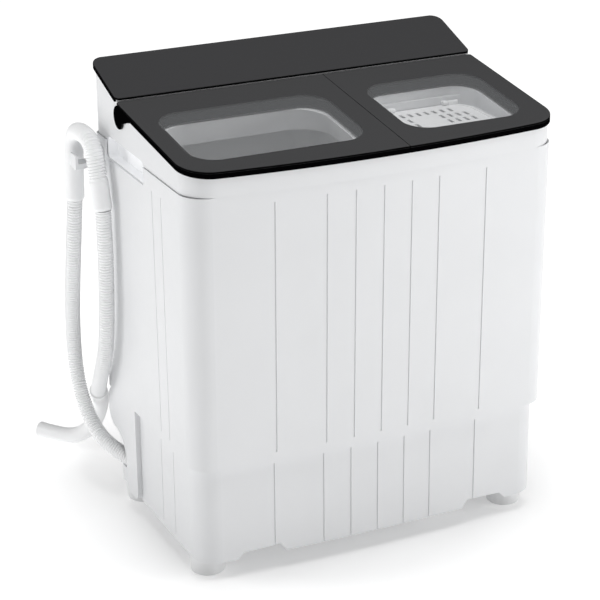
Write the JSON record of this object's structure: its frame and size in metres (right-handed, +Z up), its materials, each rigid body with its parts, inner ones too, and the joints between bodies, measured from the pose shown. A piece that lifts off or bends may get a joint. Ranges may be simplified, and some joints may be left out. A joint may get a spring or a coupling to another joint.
{
  "type": "twin tub washer",
  "caption": "Portable twin tub washer: a wash tub with a pulsator beside a spin dryer, under hinged windowed lids and a sloped rear panel, with a corrugated drain hose hooked on its side.",
  "frame": {"origin": "on the floor under the middle of the machine's own box, without the drain hose", "axes": "+Z up, front towards -Y, +X to the right seen from the front"},
  "size_m": [0.7949, 0.7806, 0.8842],
  "materials": {
    "white_gloss": "moulded, semi-gloss",
    "tub_white": "moulded, satin",
    "panel_black": "satin",
    "lid_slate": "satin",
    "smoked_window": "clear, lightly smoked",
    "foot_grey": "moulded",
    "hose_white": "moulded, satin",
    "pipe_grey": "moulded",
    "black_rubber": "matt",
    "steel": "turned",
    "zinc_sheet": "zinc coated",
    "motor_black": "satin paint",
    "cast_aluminium": "die cast",
    "board_green": "laminate",
    "can_silver": "drawn can"
  },
  "bodies": {
    "machine": {"top_frame": "white_gloss", "cabinet_shell": "white_gloss", "base_shell": "white_gloss", "hand_grip_left": "white_gloss", "hand_grip_right": "white_gloss", "drain_shroud": "white_gloss", "hose_hanger": "white_gloss", "hose_cradle": "white_gloss", "wash_tub": "tub_white", "spin_outer_tub": "tub_white", "lint_filter_housing": "tub_white", "drain_grille": "tub_white", "inner_lid_lugs": "tub_white", "control_panel": "panel_black", "feet": "foot_grey", "drain_hose_lower": "hose_white", "drain_hose_upper": "hose_white", "hose_crook": "hose_white", "hose_end_pipe": "hose_white", "wash_drain_pipe": "pipe_grey", "spin_drain_pipe": "pipe_grey", "inlet_pipe": "pipe_grey", "drain_spigot": "pipe_grey", "water_inlet_spigot": "pipe_grey", "drain_pump_body": "pipe_grey", "lid_bumpers": "black_rubber", "drive_belt": "black_rubber", "shaft_seal": "black_rubber", "spin_motor_mounts": "black_rubber", "cord_gland": "black_rubber", "hinge_pins": "steel", "back_panel_screws": "steel", "back_panel": "zinc_sheet", "wash_motor_bracket": "zinc_sheet", "brake_bracket": "zinc_sheet", "wash_motor": "motor_black", "spin_motor": "motor_black", "drain_pump_motor": "motor_black", "gearbox_housing": "cast_aluminium", "touch_board": "board_green", "power_board": "board_green", "run_capacitors": "can_silver"},
    "wash_lid": {"wash_lid_frame": "lid_slate", "wash_lid_window": "smoked_window"},
    "spin_lid": {"spin_lid_frame": "lid_slate", "spin_lid_window": "smoked_window"},
    "inner_lid": {"inner_spin_lid": "tub_white"},
    "pulsator_drive": {"pulsator": "tub_white", "pulsator_screw": "steel", "gearbox_shaft": "steel"},
    "wash_pulley_body": {"wash_pulley": "cast_aluminium"},
    "motor_pulley_body": {"motor_pulley": "cast_aluminium"},
    "basket": {"spin_basket": "tub_white", "spin_shaft": "steel", "brake_drum": "cast_aluminium", "spin_coupling": "cast_aluminium"},
    "brake": {"brake_lever": "zinc_sheet", "brake_pad": "black_rubber"},
    "filter": {"lint_filter": "tub_white"},
    "impeller": {"drain_impeller": "pipe_grey"}
  },
  "joints": [
    {"name": "wash_lid_hinge", "type": "hinge", "parent": "machine", "child": "wash_lid", "pos_m": [0, 0.099, 0.824], "axis": [-1, 0, 0], "range_deg": [0, 98]},
    {"name": "spin_lid_hinge", "type": "hinge", "parent": "machine", "child": "spin_lid", "pos_m": [0, 0.099, 0.824], "axis": [-1, 0, 0], "range_deg": [0, 98]},
    {"name": "inner_lid_hinge", "type": "hinge", "parent": "machine", "child": "inner_lid", "pos_m": [0.202, 0.016, 0.7745], "axis": [-1, 0, 0], "range_deg": [0, 94]},
    {"name": "pulsator_spin", "type": "hinge", "parent": "machine", "child": "pulsator_drive", "pos_m": [-0.164, -0.04, 0.36], "axis": [0, 0, 1], "continuous": true},
    {"name": "wash_pulley_spin", "type": "hinge", "parent": "machine", "child": "wash_pulley_body", "pos_m": [-0.164, -0.04, 0.214], "axis": [0, 0, 1], "continuous": true},
    {"name": "motor_pulley_spin", "type": "hinge", "parent": "machine", "child": "motor_pulley_body", "pos_m": [-0.164, 0.114, 0.214], "axis": [0, 0, 1], "continuous": true},
    {"name": "basket_spin", "type": "hinge", "parent": "machine", "child": "basket", "pos_m": [0.202, -0.075, 0.305], "axis": [0, 0, 1], "continuous": true},
    {"name": "brake_swing", "type": "hinge", "parent": "machine", "child": "brake", "pos_m": [0.258, -0.02, 0.229], "axis": [0, 0, -1], "range_deg": [0, 1.6]},
    {"name": "lint_filter_lift", "type": "slide", "parent": "machine", "child": "filter", "axis": [0, 0, 1], "range_m": [0, 0.035]},
    {"name": "impeller_spin", "type": "hinge", "parent": "machine", "child": "impeller", "pos_m": [-0.262, 0.12, 0.09], "axis": [0, 0, 1], "continuous": true}
  ],
  "couplings": [
    {"joint": "inner_lid_hinge", "follows": "spin_lid_hinge", "ratio": 0.95},
    {"joint": "brake_swing", "follows": "spin_lid_hinge", "ratio": 0.016},
    {"joint": "wash_pulley_spin", "follows": "pulsator_spin", "ratio": 5},
    {"joint": "motor_pulley_spin", "follows": "pulsator_spin", "ratio": 20.758}
  ]
}
